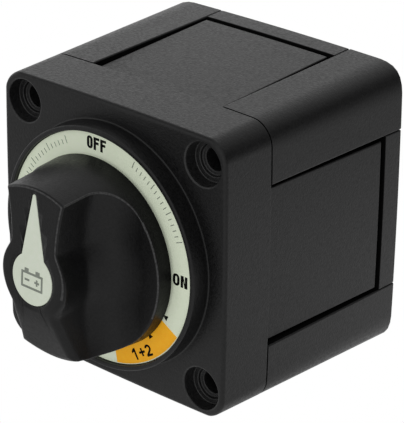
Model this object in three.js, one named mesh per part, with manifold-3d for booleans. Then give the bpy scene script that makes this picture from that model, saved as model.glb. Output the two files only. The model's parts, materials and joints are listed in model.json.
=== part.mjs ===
// Rotary battery switch for a boat: a square front housing with a raised dial, a grip knob on a rotor,
// a terminal base with four studs, and an isolating rear cover whose four side plates slide out for cables.
// Millimetres. +Z is up, the dial faces -Y, +X is to the right of someone facing the dial.
// The origin is the centre of the rear mounting face.
import * as THREE from "three";
import { mergeVertices } from "three/addons/utils/BufferGeometryUtils.js";
import { ParametricGeometry } from "three/addons/geometries/ParametricGeometry.js";
import Module from "manifold-3d";

const wasm = await Module();
wasm.setup();

// ---------- driving dimensions ----------
// A height is measured forwards from the front face, and a depth backwards from it.
const SIDE = 70; // width and height of the square body at its front face
const FLARE = 1.75; // how much further out each side stands at the rear face
const CORNER_R = 5.5; // its four long corners
const BODY_DEPTH = 61.5; // front face to rear mounting face
const HOUSING_DEPTH = 15; // front housing, front to back
const EDGE = 0.8; // bevel round the front face
const SEAM = 0.3; // gap between neighbouring mouldings
const FIT = 0.1; // gap between pieces that rest on each other
const PAST = 1; // how far a cutting tool runs past the face that it opens

const HOLE_PITCH = 56; // mounting screws, centre to centre
const HOLE_R = 2.7; // clearance for a 5 mm screw
const HEAD_R = 5.4; // counterbore for the screw head
const HEAD_DEPTH = 6;
const STEP_R = 3.8; // ledge below the counterbore
const STEP_DEPTH = 8;

const COLLAR_BASE_R = 30.1; // collar round the dial
const COLLAR_TOP_R = 29.9;
const COLLAR_HEIGHT = 4.9;
const COLLAR_BEVEL = 0.4;
const DIAL_R = 28.7; // pocket inside the collar
const DIAL_HEIGHT = 3.4; // its floor
const LABEL_THICK = 0.5;
const LABEL_PLAY = 0.2; // round the label, in its pocket
const LABEL_BORE = 9;

const KNOB_R = 23.3; // skirt of the knob
const KNOB_BASE = 4.7; // height of the skirt's lower edge
const KNOB_DRAFT = 0.07; // loss of radius per mm of height
const KNOB_SIDES = 64; // facets round the knob
const RIM_HEIGHT = 9; // top of the skirt beside the grip
const RIM_ROUND = 0.5;
const GRIP_HEIGHT = 25.8; // nose of the grip over the axis
const NOSE_TILT = 0.065; // the nose falls this much per mm towards the pointer's tip
const TAIL_START = 8; // below this the nose bends down
const TAIL_SLOPE = 0.4;
const WAIST = 7; // half-width of the grip at its narrowest
const END_FLARE = 1.9; // extra half-width at END_AT
const END_AT = 20;
const SWELL_R = 10; // round swelling about the axis
const SCOOP_R = 7; // fillet between grip and skirt
const NOSE_EDGE = 1.4; // bevel round the nose
const SKIRT_HOLLOW = { inner: 10.5, outer: 20.8, top: 7 };
const GRIP_HOLLOW = { half: 4.6, r: 1, at: 15, top: 20 }; // one on each side of the drive square
const PILOT_TOP = 23.5; // end of the knob screw's hole

const POINTER_R = 6.3; // round end of the pointer
const POINTER_TIP = 20.4;
const POINTER_ROOT = 3.5; // half-width where the spike leaves the round end
const POINTER_END = 0.5; // half-width at its tip
const POINTER_THICK = 0.9;
const POINTER_PLAY = 0.15;

const POST = 14.7; // side of the four corner posts
// How far a side plate lies below the posts' faces, at its front edge and at its rear strip.
const PLATE_RECESS = { front: 1.0, rear: 0.2 };
const PLATE_GAP = { side: 1.1, rear: 1.45 }; // open grooves between that face and the posts, and the strip
const PLATE_LEDGE = 3.6; // floor of those grooves, below the posts' faces
const PLATE_INSIDE = 5.9; // inner face of the side plates, below the posts' faces
const STRIP = 5.8; // flush strip along a side plate's rear edge
const GROOVE = { outer: 4, inner: 6.05, reach: 1.9 }; // the posts' grooves, below the posts' faces
const TONGUE_PLAY = 0.15;
const REAR_PLATE = 2.5;

const CHAMBER_R = 27.6; // round room for the rotor
const FRONT_WALL = 2.8;
const SHAFT_BORE = 8.5;
const SOCKET_DEPTH = 9.5; // where the terminal base starts
const SOCKET = { flat: 28.4, corner: 21 }; // eight-sided socket for the base
const STUD_AT = 12.5; // studs at plus and minus this, both ways
const STUD_R = 4.9; // M10
const STUD_HEAD = { inner: 7.5, outer: 17.8, low: 3, high: 17.5, front: 11.9, rear: 16.6 }; // x, z and depths
const STUD_END = 49;
const BASE_REAR = 27; // rear face of the base
const SEAT = BASE_REAR + 2.5; // top of the bosses round the studs
const BOSS_R = 9.4;
const RIB = { half: 1.2, end: 40, margin: 3 }; // cross between the studs
const BASE_SCREW_AT = 21.9;
const BASE_SCREW = { r: 1.5, headR: 2.9, head: 12.9, headEnd: 14.8, tip: 5, pilotR: 1.6, pilotEnd: 4.5 };

const ROTOR_R = 25;
const ROTOR_BACK = 8.5; // depth of its rear face
const SHAFT_R = 8.2;
const SHAFT_TOP = 3.6;
const SEAL = { low: 1.1, high: 2.9, grooveR: 6.9, r: 7.65, wireR: 0.7 }; // heights and radii
const SQUARE = 10; // drive square of the rotor shaft
const SQUARE_TOP = 18;
const SQUARE_PLAY = 0.2;
const KNOB_SCREW = { r: 1.85, play: 0.1, headR: 3.9, headPlay: 0.2, headLength: 2.4, headSunk: 1, tip: 22.5 };
const POSITIONS = [0, 90, 145]; // degrees of turn: off, on, and both banks joined
const LUG = { inner: 19, outer: 22, halfAngle: 7, rise: 1, play: 0.5, endPlay: 2 }; // the rotor's stop
const CONTACT_AT = 15; // contact bars, from the axis
const CONTACT_SPRING = { wireR: 0.4, coilR: 2.2, front: 2.2, rear: 9, pocketR: 3.1, pocket: 2 };
const CONTACT_BAR = { halfLength: 6.2, halfWidth: 2.6, front: 9.1, rear: 11.5 };
const DETENT_ANGLES = [45, 225];
const DETENT = { ballR: 2, play: 0.2, proud: 1.9, depth: 4.2, pocket: 8, noseR: 1.3 };
const DETENT_SPRING = { wireR: 0.3, coilR: 1.4, length: 5.5, sunk: 7.9 };

const FRONT_Y = -BODY_DEPTH;
const HALF = SIDE / 2;
const WINDOW = HALF - POST; // half-width of the openings between the posts
const HOUSING_REAR = FRONT_Y + HOUSING_DEPTH;
const ahead = (height) => FRONT_Y - height; // y of a height
const behind = (depth) => FRONT_Y + depth; // y of a depth
const growth = (y) => 1 + ((FLARE / HALF) * (y - FRONT_Y)) / BODY_DEPTH; // of the body's outline
const CHAMBER_FRONT = ahead(DIAL_HEIGHT - FRONT_WALL);
const BOTH = [-1, 1];
const CORNERS = [[-1, 1], [1, 1], [1, -1], [-1, -1]];
const QUARTERS = [0, 90, 180, 270];

// ---------- solids and geometries ----------
function solid(geometry) {
  const bare = geometry.clone();
  bare.deleteAttribute("normal");
  bare.deleteAttribute("uv");
  const merged = mergeVertices(bare, 1e-4);
  const vertProperties = merged.attributes.position.array;
  const corners = merged.index.array;
  const triangles = [];
  for (let i = 0; i < corners.length; i += 3) {
    const [a, b, c] = corners.subarray(i, i + 3);
    if (a !== b && b !== c && c !== a) triangles.push(a, b, c);
  }
  const build = (triVerts) => new wasm.Manifold(new wasm.Mesh({ numProp: 3, vertProperties, triVerts }));
  const made = build(new Uint32Array(triangles));
  return made.volume() > 0 ? made : build(new Uint32Array(triangles.reverse()));
}

function join(...solids) {
  return solids.reduce((all, one) => all.add(one));
}

function cut(body, ...tools) {
  return tools.reduce((left, tool) => left.subtract(tool), body);
}

// Shape drawn in X and Z, pushed along Y from y0 to y1.
function prism(shape, y0, y1, curveSegments = 6) {
  const geometry = new THREE.ExtrudeGeometry(shape, { depth: y1 - y0, bevelEnabled: false, curveSegments });
  return solid(geometry.rotateX(Math.PI / 2).translate(0, y1, 0));
}

// Round body about a line along Y through x, z. The profile is a list of [radius, y].
function round(profile, x = 0, z = 0, segments = 24) {
  const points = profile.map(([r, y]) => new THREE.Vector2(r, y));
  return solid(new THREE.LatheGeometry(points, segments).translate(x, 0, z));
}

function disc(r, y0, y1, x = 0, z = 0, segments = 24) {
  return round([[0, y0], [r, y0], [r, y1], [0, y1]], x, z, segments);
}

function block(x0, x1, y0, y1, z0, z1) {
  const geometry = new THREE.BoxGeometry(x1 - x0, y1 - y0, z1 - z0);
  return solid(geometry.translate((x0 + x1) / 2, (y0 + y1) / 2, (z0 + z1) / 2));
}

function polygon(points) {
  return new THREE.Shape(points.map(([x, z]) => new THREE.Vector2(x, z)));
}

function circle(r, x = 0, z = 0) {
  return new THREE.Path().absarc(x, z, r, 0, 2 * Math.PI);
}

function roundedSquare(half, r) {
  const shape = new THREE.Shape();
  const c = half - r;
  shape.absarc(c, c, r, 0, Math.PI / 2);
  shape.absarc(-c, c, r, Math.PI / 2, Math.PI);
  shape.absarc(-c, -c, r, Math.PI, 1.5 * Math.PI);
  shape.absarc(c, -c, r, 1.5 * Math.PI, 2 * Math.PI);
  return shape;
}

// The body's sides move apart towards the rear.
function flared(body) {
  return body.warp((v) => {
    v[0] *= growth(v[1]);
    v[2] *= growth(v[1]);
  });
}

// The eight-sided outline of the socket, made smaller all round.
function octagon(play) {
  const flat = SOCKET.flat - play;
  const corner = SOCKET.corner - play;
  return polygon([
    [flat, corner], [corner, flat], [-corner, flat], [-flat, corner],
    [-flat, -corner], [-corner, -flat], [corner, -flat], [flat, -corner],
  ]);
}

// A dial angle counts clockwise from the top, as seen from the front.
function dial(degrees, r) {
  const a = THREE.MathUtils.degToRad(degrees);
  return [r * Math.sin(a), r * Math.cos(a)];
}

// Part of a ring between two dial angles.
function ringSector(inner, outer, from, to) {
  const start = Math.PI / 2 - THREE.MathUtils.degToRad(from);
  const end = Math.PI / 2 - THREE.MathUtils.degToRad(to);
  const shape = new THREE.Shape();
  shape.absarc(0, 0, outer, start, end, true);
  shape.absarc(0, 0, inner, end, start, false);
  return shape;
}

// Coil of round wire about a line along Y.
function coil(wireR, coilR, y0, y1, turns) {
  const stepsPerTurn = 8;
  const steps = turns * stepsPerTurn;
  const bends = Array.from({ length: steps + 1 }, (_, i) => {
    const a = (i / stepsPerTurn) * 2 * Math.PI;
    const along = THREE.MathUtils.lerp(y0 + wireR, y1 - wireR, i / steps);
    return new THREE.Vector3(coilR * Math.cos(a), along, coilR * Math.sin(a));
  });
  const section = new THREE.Shape().absarc(0, 0, wireR, 0, 2 * Math.PI);
  const extrudePath = new THREE.CatmullRomCurve3(bends);
  return solid(new THREE.ExtrudeGeometry(section, { steps, extrudePath, curveSegments: 3 }));
}

// ---------- front housing ----------
function bevelledSlab() {
  const geometry = new THREE.ExtrudeGeometry(roundedSquare(HALF, CORNER_R), {
    depth: HOUSING_DEPTH,
    bevelThickness: EDGE,
    bevelSize: EDGE,
    bevelOffset: -EDGE,
    bevelSegments: 2,
    curveSegments: 6,
  });
  const slab = solid(geometry.rotateX(Math.PI / 2).translate(0, HOUSING_REAR + EDGE, 0));
  return flared(cut(slab, block(-SIDE, SIDE, HOUSING_REAR, HOUSING_REAR + EDGE + PAST, -SIDE, SIDE)));
}

function collar() {
  const root = behind(PAST);
  return round(
    [
      [0, root], [COLLAR_BASE_R, root], [COLLAR_BASE_R, FRONT_Y],
      [COLLAR_TOP_R, ahead(COLLAR_HEIGHT - COLLAR_BEVEL)],
      [COLLAR_TOP_R - COLLAR_BEVEL, ahead(COLLAR_HEIGHT)],
      [0, ahead(COLLAR_HEIGHT)],
    ],
    0, 0, 48,
  );
}

function mountingHole(x, z) {
  const front = ahead(PAST);
  const rear = behind(HOUSING_DEPTH + PAST);
  return round(
    [
      [0, front], [HEAD_R, front], [HEAD_R, behind(HEAD_DEPTH)],
      [STEP_R, behind(HEAD_DEPTH)], [STEP_R, behind(STEP_DEPTH)],
      [HOLE_R, behind(STEP_DEPTH)], [HOLE_R, rear], [0, rear],
    ],
    x, z, 20,
  );
}

function frontHousing() {
  let body = cut(
    join(bevelledSlab(), collar()),
    disc(DIAL_R, ahead(COLLAR_HEIGHT + PAST), ahead(DIAL_HEIGHT), 0, 0, 48),
    disc(SHAFT_BORE, ahead(DIAL_HEIGHT + PAST), CHAMBER_FRONT + PAST),
    disc(CHAMBER_R, CHAMBER_FRONT, behind(SOCKET_DEPTH + PAST), 0, 0, 36),
    prism(octagon(0), behind(SOCKET_DEPTH), behind(HOUSING_DEPTH + PAST)),
  );
  const { pilotR, pilotEnd } = BASE_SCREW;
  for (const [sx, sz] of CORNERS) {
    const pilot = disc(pilotR, behind(pilotEnd), behind(SOCKET_DEPTH + PAST),
      sx * BASE_SCREW_AT, sz * BASE_SCREW_AT, 10);
    body = cut(body, mountingHole((sx * HOLE_PITCH) / 2, (sz * HOLE_PITCH) / 2), pilot);
  }
  const sweep = LUG.halfAngle + LUG.endPlay;
  const track = ringSector(LUG.inner - LUG.play, LUG.outer + LUG.play,
    POSITIONS[0] - sweep, POSITIONS.at(-1) + sweep);
  body = cut(body, prism(track, CHAMBER_FRONT - LUG.rise - LUG.play, CHAMBER_FRONT + PAST, 14));
  for (const ball of DETENT_ANGLES)
    for (const turn of POSITIONS) body = cut(body, detentNotch(ball + turn));
  return body;
}

// The detent ball drops into this notch in the chamber's wall.
function detentNotch(angle) {
  const { depth, noseR } = DETENT;
  return disc(noseR, behind(depth - noseR), behind(depth + noseR), ...dial(angle, CHAMBER_R), 8);
}

function labelRing() {
  const shape = new THREE.Shape().absarc(0, 0, DIAL_R - LABEL_PLAY, 0, 2 * Math.PI);
  shape.holes.push(circle(LABEL_BORE));
  return prism(shape, ahead(DIAL_HEIGHT + FIT + LABEL_THICK), ahead(DIAL_HEIGHT + FIT), 24);
}

// ---------- knob ----------
const noseHeight = (z) => {
  const tail = Math.max(0, -z - TAIL_START);
  return GRIP_HEIGHT - NOSE_TILT * Math.max(z, -TAIL_START) - TAIL_SLOPE * tail;
};
const gripHalfWidth = (z) => {
  const waist = WAIST + END_FLARE * Math.abs(z / END_AT) ** 3;
  const swell = Math.sqrt(Math.max(0, SWELL_R ** 2 - z ** 2));
  return Math.max(waist, swell);
};
const wallRadius = (height) => KNOB_R - KNOB_DRAFT * (height - KNOB_BASE);

// One outline of the grip, as [x, z], inside a round wall. The sides stand out by the widening.
function gripOutline(wallR, widening) {
  const chord = (z) => Math.sqrt(Math.max(0, wallR ** 2 - z ** 2));
  const side = (z) => Math.min(gripHalfWidth(z) + widening, chord(z));
  let end = wallR; // z where the side meets the wall, found by repeated correction
  for (let pass = 0; pass < 20; pass += 1) end = chord(side(end * 0.98));
  const endAngle = Math.acos(end / wallR);
  const steps = KNOB_SIDES / 8;
  const corner = [];
  for (let i = 0; i < steps; i += 1) {
    const a = (endAngle * i) / steps;
    corner.push([wallR * Math.sin(a), wallR * Math.cos(a)]);
  }
  for (let i = 0; i < steps; i += 1) {
    const z = end * (1 - i / steps);
    corner.push([side(z), z]);
  }
  const lower = corner.slice(1).reverse().map(([x, z]) => [x, -z]);
  const right = [...corner, [side(0), 0], ...lower];
  return [...right, ...right.map(([x, z]) => [-x, -z])];
}

// Rings of [x, z, height], from the middle of the underside to the middle of the nose.
function knobRings() {
  const top = gripOutline(wallRadius(GRIP_HEIGHT), 0);
  const roundRing = (r, height) => top.map(([x, z]) => {
    const scale = r / Math.hypot(x, z);
    return [x * scale, z * scale, height];
  });
  const rings = [
    roundRing(0, KNOB_BASE),
    roundRing(wallRadius(KNOB_BASE), KNOB_BASE),
    roundRing(wallRadius(RIM_HEIGHT), RIM_HEIGHT - RIM_ROUND),
    roundRing(wallRadius(RIM_HEIGHT) - RIM_ROUND, RIM_HEIGHT),
  ];
  for (const lift of [0.04, 0.2, 0.5, 1]) {
    const height = RIM_HEIGHT + SCOOP_R * lift;
    const widening = SCOOP_R * (1 - Math.sqrt(1 - (1 - lift) ** 2));
    rings.push(gripOutline(wallRadius(height), widening).map(([x, z]) => [x, z, height]));
  }
  for (const [inward, drop] of [[0, 1], [0.3, 0.3], [1, 0]])
    rings.push(top.map(([x, z]) => {
      const shrink = 1 - (inward * NOSE_EDGE) / Math.hypot(x, z);
      return [x * shrink, z * shrink, noseHeight(z * shrink) - drop * NOSE_EDGE];
    }));
  for (const share of [0.62, 0.3, 0])
    rings.push(top.map(([x, z]) => [x * share, z * share, noseHeight(z * share)]));
  return rings;
}

// A solid laid out on the nose's own slope: y0 and y1 are measured from the nose face.
function onNose(shape, y0, y1) {
  const depth = y1 - y0;
  const geometry = new THREE.ExtrudeGeometry(shape, { depth, bevelEnabled: false, curveSegments: 12 });
  geometry.rotateX(Math.PI / 2).translate(0, y1, 0).rotateX(-Math.atan(NOSE_TILT));
  return solid(geometry.translate(0, ahead(GRIP_HEIGHT), 0));
}

function pointerShape(margin) {
  const r = POINTER_R + margin;
  const root = POINTER_ROOT + margin;
  const rootAngle = Math.asin(root / r);
  const tipHalf = POINTER_END + margin;
  const shape = new THREE.Shape();
  shape.absarc(0, 0, r, Math.PI / 2 + rootAngle, 2.5 * Math.PI - rootAngle);
  shape.lineTo(tipHalf, POINTER_TIP - tipHalf);
  shape.absarc(0, POINTER_TIP - tipHalf, tipHalf, 0, Math.PI);
  return shape;
}

function knob() {
  const rings = knobRings();
  const surface = (u, v, target) => {
    const ring = rings[Math.round(v * (rings.length - 1))];
    const [x, z, height] = ring[Math.round(u * KNOB_SIDES) % KNOB_SIDES];
    target.set(x, ahead(height), z);
  };
  const outside = solid(new ParametricGeometry(surface, KNOB_SIDES, rings.length - 1));
  const under = ahead(KNOB_BASE - PAST);
  const { inner, outer, top } = SKIRT_HOLLOW;
  const half = SQUARE / 2 + SQUARE_PLAY;
  const gripRoom = roundedSquare(GRIP_HOLLOW.half, GRIP_HOLLOW.r);
  const roof = ahead(top);
  const skirtRoom = [[inner, under], [outer, under], [outer, roof], [inner, roof], [inner, under]];
  return cut(
    outside,
    round(skirtRoom, 0, 0, 32),
    block(-half, half, ahead(SQUARE_TOP + SEAM), under, -half, half),
    ...BOTH.map((s) =>
      prism(gripRoom, ahead(GRIP_HOLLOW.top), under, 2).translate(0, 0, s * GRIP_HOLLOW.at)),
    disc(KNOB_SCREW.r + KNOB_SCREW.play, ahead(PILOT_TOP), ahead(SQUARE_TOP), 0, 0, 16),
    onNose(pointerShape(POINTER_PLAY), -PAST, POINTER_THICK + FIT),
  );
}

function knobPointer() {
  return onNose(pointerShape(0), 0, POINTER_THICK);
}

function knobScrew() {
  const { r, headR, headLength, headSunk, tip } = KNOB_SCREW;
  const headEnd = behind(ROTOR_BACK - headSunk);
  const headFront = headEnd - headLength;
  const point = 0.8;
  return round(
    [[0, headEnd], [headR, headEnd], [headR, headFront], [r, headFront],
      [r, ahead(tip - 2 * point)], [r - point, ahead(tip)], [0, ahead(tip)]],
    0, 0, 16,
  );
}

// ---------- rotor and its contacts ----------
function rotor() {
  const front = CHAMBER_FRONT + SEAM;
  const half = SQUARE / 2;
  const turned = round(
    [[0, behind(ROTOR_BACK)], [ROTOR_R, behind(ROTOR_BACK)], [ROTOR_R, front], [SHAFT_R, front],
      [SHAFT_R, ahead(SEAL.low)], [SEAL.grooveR, ahead(SEAL.low)], [SEAL.grooveR, ahead(SEAL.high)],
      [SHAFT_R, ahead(SEAL.high)], [SHAFT_R, ahead(SHAFT_TOP)], [0, ahead(SHAFT_TOP)]],
    0, 0, 32,
  );
  const lugShape = ringSector(LUG.inner, LUG.outer, -LUG.halfAngle, LUG.halfAngle);
  const lug = prism(lugShape, CHAMBER_FRONT - LUG.rise, front + PAST, 6);
  const drive = block(-half, half, ahead(SQUARE_TOP), ahead(SHAFT_TOP - PAST), -half, half);
  const { pocketR, pocket } = CONTACT_SPRING;
  const { r, play, headR, headPlay, headLength, headSunk } = KNOB_SCREW;
  const headRoom = ROTOR_BACK - headSunk - headLength - play;
  return cut(
    join(turned, drive, lug),
    disc(r + play, ahead(SQUARE_TOP + PAST), behind(ROTOR_BACK), 0, 0, 16),
    disc(headR + headPlay, behind(headRoom), behind(ROTOR_BACK + PAST), 0, 0, 16),
    ...BOTH.map((s) => disc(pocketR, behind(pocket), behind(ROTOR_BACK + PAST), 0, s * CONTACT_AT, 16)),
    ...DETENT_ANGLES.map(detentPocket),
  );
}

// Turns a solid that lies along +Z to a dial angle, at the detents' depth.
function alongRadius(made, angle) {
  return made.rotate([0, angle, 0]).translate([0, behind(DETENT.depth), 0]);
}

function detentPocket(angle) {
  const r = DETENT.ballR + DETENT.play;
  const geometry = new THREE.CylinderGeometry(r, r, DETENT.pocket + PAST, 12);
  const middle = ROTOR_R - (DETENT.pocket - PAST) / 2;
  return alongRadius(solid(geometry.rotateX(Math.PI / 2).translate(0, 0, middle)), angle);
}

function detentBall(angle) {
  const geometry = new THREE.SphereGeometry(DETENT.ballR, 12, 8);
  return alongRadius(solid(geometry.translate(0, 0, ROTOR_R + DETENT.proud - DETENT.ballR)), angle);
}

function detentSpring(angle) {
  const { wireR, coilR, length, sunk } = DETENT_SPRING;
  const along = coil(wireR, coilR, 0, length, 4).rotate([90, 0, 0]);
  return alongRadius(along.translate([0, 0, ROTOR_R - sunk]), angle);
}

function contactSpring(side) {
  const { wireR, coilR, front, rear } = CONTACT_SPRING;
  return coil(wireR, coilR, behind(front), behind(rear), 4).translate([0, 0, side * CONTACT_AT]);
}

function contactBar(side) {
  const { halfLength, halfWidth, front, rear } = CONTACT_BAR;
  const z = side * CONTACT_AT;
  return block(-halfLength, halfLength, behind(front), behind(rear), z - halfWidth, z + halfWidth);
}

function shaftSeal() {
  const middle = ahead((SEAL.low + SEAL.high) / 2);
  const sides = 6;
  const points = Array.from({ length: sides + 1 }, (_, i) => {
    const a = (i / sides) * 2 * Math.PI;
    return [SEAL.r + SEAL.wireR * Math.cos(a), middle + SEAL.wireR * Math.sin(a)];
  });
  return round(points);
}

// ---------- terminal base ----------
function studHead(sx, sz, play) {
  const { inner, outer, low, high, front, rear } = STUD_HEAD;
  const xs = [sx * (inner - play), sx * (outer + play)].sort((a, b) => a - b);
  const zs = [sz * (low - play), sz * (high + play)].sort((a, b) => a - b);
  return block(xs[0], xs[1], behind(front), behind(rear + play), zs[0], zs[1]);
}

function terminalBase() {
  const rearHalf = HALF - PLATE_INSIDE - PAST;
  const arm = WINDOW - 0.5;
  const joint = behind(HOUSING_DEPTH - FIT);
  const overlap = FIT; // so that stacked blocks join
  const plug = prism(octagon(SEAM), behind(SOCKET_DEPTH + 2 * SEAM), joint);
  const bed = [
    block(-rearHalf, rearHalf, joint - overlap, behind(BASE_REAR), -arm, arm),
    block(-arm, arm, joint - overlap, behind(BASE_REAR), -rearHalf, rearHalf),
  ];
  const reach = rearHalf - RIB.margin + PAST;
  const ribs = [
    block(-RIB.half, RIB.half, behind(BASE_REAR - PAST), behind(RIB.end), -reach, reach),
    block(-reach, reach, behind(BASE_REAR - PAST), behind(RIB.end), -RIB.half, RIB.half),
  ];
  const bosses = CORNERS.map(([sx, sz]) =>
    disc(BOSS_R, behind(BASE_REAR - PAST), behind(SEAT), sx * STUD_AT, sz * STUD_AT, 20));
  const contactFloor = 13;
  let body = join(plug, ...bed, ...ribs, ...bosses);
  body = cut(body, disc(ROTOR_R + 0.4, behind(SOCKET_DEPTH), behind(contactFloor), 0, 0, 32));
  for (const [sx, sz] of CORNERS) {
    const x = sx * BASE_SCREW_AT;
    const z = sz * BASE_SCREW_AT;
    body = cut(
      body,
      studHead(sx, sz, 0.2),
      disc(STUD_R + 0.2, behind(STUD_HEAD.rear - PAST), behind(SEAT + PAST), sx * STUD_AT, sz * STUD_AT, 20),
      disc(BASE_SCREW.r + 0.2, behind(SOCKET_DEPTH), behind(HOUSING_DEPTH), x, z, 10),
      disc(BASE_SCREW.headR + 0.2, behind(BASE_SCREW.head - FIT), behind(HOUSING_DEPTH), x, z, 12),
    );
  }
  return body;
}

function baseGasket() {
  const shape = octagon(SEAM + FIT);
  shape.holes.push(circle(CHAMBER_R - 0.2));
  for (const [sx, sz] of CORNERS)
    shape.holes.push(circle(BASE_SCREW.r + SEAM, sx * BASE_SCREW_AT, sz * BASE_SCREW_AT));
  return prism(shape, behind(SOCKET_DEPTH + FIT), behind(SOCKET_DEPTH + 2 * SEAM - FIT), 8);
}

function baseScrew(sx, sz) {
  const { r, headR, head, headEnd, tip } = BASE_SCREW;
  const point = 0.7;
  return round(
    [[0, behind(headEnd)], [headR, behind(headEnd)], [headR, behind(head)], [r, behind(head)],
      [r, behind(tip + point)], [r - point, behind(tip)], [0, behind(tip)]],
    sx * BASE_SCREW_AT, sz * BASE_SCREW_AT, 12,
  );
}

// ---------- studs and their hardware ----------
const WASHER = { outer: 9.2, bore: 5.3, thick: 1.8 };
const LOCK_WASHER = { outer: 8.3, bore: 5.3, thick: 2.2, gap: 1.6 };
const NUT = { flats: 16, bore: 5.1, thick: 8 };
const WASHER_FRONT = SEAT + FIT;
const LOCK_FRONT = WASHER_FRONT + WASHER.thick + FIT;
const NUT_FRONT = LOCK_FRONT + LOCK_WASHER.thick + FIT;

function stud(sx, sz) {
  const point = 1;
  const shank = round(
    [[0, behind(STUD_HEAD.rear - PAST)], [STUD_R, behind(STUD_HEAD.rear - PAST)],
      [STUD_R, behind(STUD_END - point)], [STUD_R - point, behind(STUD_END)], [0, behind(STUD_END)]],
    sx * STUD_AT, sz * STUD_AT, 20,
  );
  return join(studHead(sx, sz, 0), shank);
}

function washer({ outer, bore, thick }, front) {
  const shape = new THREE.Shape().absarc(0, 0, outer, 0, 2 * Math.PI);
  shape.holes.push(circle(bore));
  return prism(shape, behind(front), behind(front + thick), 10);
}

function lockWasher() {
  const half = LOCK_WASHER.gap / 2;
  const slot = block(-half, half, behind(SEAT), behind(NUT_FRONT), NUT.bore - PAST, LOCK_WASHER.outer + PAST);
  return cut(washer(LOCK_WASHER, LOCK_FRONT), slot);
}

function studNut() {
  const cornerR = NUT.flats / Math.sqrt(3);
  const shape = polygon(Array.from({ length: 6 }, (_, i) => dial(60 * i, cornerR)));
  shape.holes.push(circle(NUT.bore));
  return prism(shape, behind(NUT_FRONT), behind(NUT_FRONT + NUT.thick), 10);
}

// ---------- isolating rear cover ----------
function postOutline() {
  const shape = polygon([[WINDOW, WINDOW], [SIDE, WINDOW], [SIDE, SIDE], [WINDOW, SIDE]]);
  shape.holes.push(circle(HOLE_R, HOLE_PITCH / 2, HOLE_PITCH / 2));
  return shape;
}

function rearCover() {
  const inner = HALF - GROOVE.inner - TONGUE_PLAY;
  const arm = WINDOW + 0.5;
  const reach = WINDOW + GROOVE.reach;
  const bars = [
    block(-inner, inner, -REAR_PLATE, 0, -arm, arm),
    block(-arm, arm, -REAR_PLATE, 0, -inner, inner),
  ];
  const turned = (make) => QUARTERS.map((turn) => make().rotate([0, turn, 0]));
  const outside = flared(prism(roundedSquare(HALF, CORNER_R), HOUSING_REAR + SEAM, 0));
  const posts = turned(() => prism(postOutline(), HOUSING_REAR, PAST).intersect(outside));
  const grooves = turned(() =>
    block(-reach, reach, HOUSING_REAR, PAST, HALF - GROOVE.inner, HALF - GROOVE.outer));
  return cut(join(...bars, ...posts), ...grooves);
}

// The plate over the top opening. Its raised face falls away from the flush rear strip towards the housing.
function sidePlate() {
  const front = HOUSING_REAR + SEAM;
  const rear = -FIT;
  const half = WINDOW - SEAM;
  const reach = WINDOW + GROOVE.reach - 0.2;
  const inside = HALF - PLATE_INSIDE;
  const ledge = HALF - PLATE_LEDGE;
  const posts = (y) => HALF * growth(y);
  const slab = extrudedAcross([
    [front, inside], [rear, inside], [rear, posts(rear)], [-STRIP, posts(-STRIP)],
    [-STRIP, ledge], [front, ledge],
  ], half);
  const end = -STRIP - PLATE_GAP.rear;
  const face = extrudedAcross([
    [front, inside + 0.5], [end, inside + 0.5],
    [end, posts(end) - PLATE_RECESS.rear], [front, posts(front) - PLATE_RECESS.front],
  ], WINDOW - PLATE_GAP.side);
  const tongues = block(-reach, reach, front, rear,
    HALF - GROOVE.inner + TONGUE_PLAY, HALF - GROOVE.outer - TONGUE_PLAY);
  return join(slab, face, tongues);
}

// A (y, z) outline made this half-width to both sides of the middle.
function extrudedAcross(outline, half) {
  const geometry = new THREE.ExtrudeGeometry(polygon(outline), { depth: 2 * half, bevelEnabled: false });
  return solid(geometry.rotateX(Math.PI / 2).rotateZ(Math.PI / 2).translate(-half, 0, 0));
}

// ---------- materials ----------
const material = (color, roughness, metalness = 0) =>
  new THREE.MeshStandardMaterial({ color, roughness, metalness, flatShading: true });
const MATERIALS = {
  body: material(0x1c1c1e, 0.55),
  knob: material(0x17171a, 0.5),
  label: material(0xe4ecd2, 0.6),
  base: material(0x232325, 0.6),
  tinned: material(0xc8c4ba, 0.35, 1),
  copper: material(0xb98d55, 0.35, 1),
  steel: material(0xb9bbbd, 0.3, 1),
  rubber: material(0x111111, 0.8),
};

// ---------- assembly ----------
function mesh(name, made, look) {
  const { numProp, vertProperties, triVerts } = made.getMesh();
  const geometry = new THREE.BufferGeometry();
  geometry.setAttribute("position", new THREE.BufferAttribute(vertProperties, numProp));
  geometry.setIndex(new THREE.BufferAttribute(triVerts, 1));
  geometry.computeVertexNormals();
  const one = new THREE.Mesh(geometry, MATERIALS[look]);
  one.name = name;
  return one;
}

function group(...children) {
  const made = new THREE.Group();
  made.add(...children);
  return made;
}

const housing = group(
  mesh("front_housing", frontHousing(), "body"),
  mesh("label_ring", labelRing(), "label"),
  mesh("terminal_base", terminalBase(), "base"),
  mesh("base_gasket", baseGasket(), "rubber"),
);
CORNERS.forEach(([sx, sz], i) => {
  const n = i + 1;
  const hardware = group(
    mesh(`flat_washer_${n}`, washer(WASHER, WASHER_FRONT), "steel"),
    mesh(`lock_washer_${n}`, lockWasher(), "steel"),
    mesh(`stud_nut_${n}`, studNut(), "steel"),
  );
  hardware.position.set(sx * STUD_AT, 0, sz * STUD_AT);
  housing.add(
    hardware,
    mesh(`terminal_stud_${n}`, stud(sx, sz), "tinned"),
    mesh(`base_screw_${n}`, baseScrew(sx, sz), "steel"),
  );
});

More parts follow.
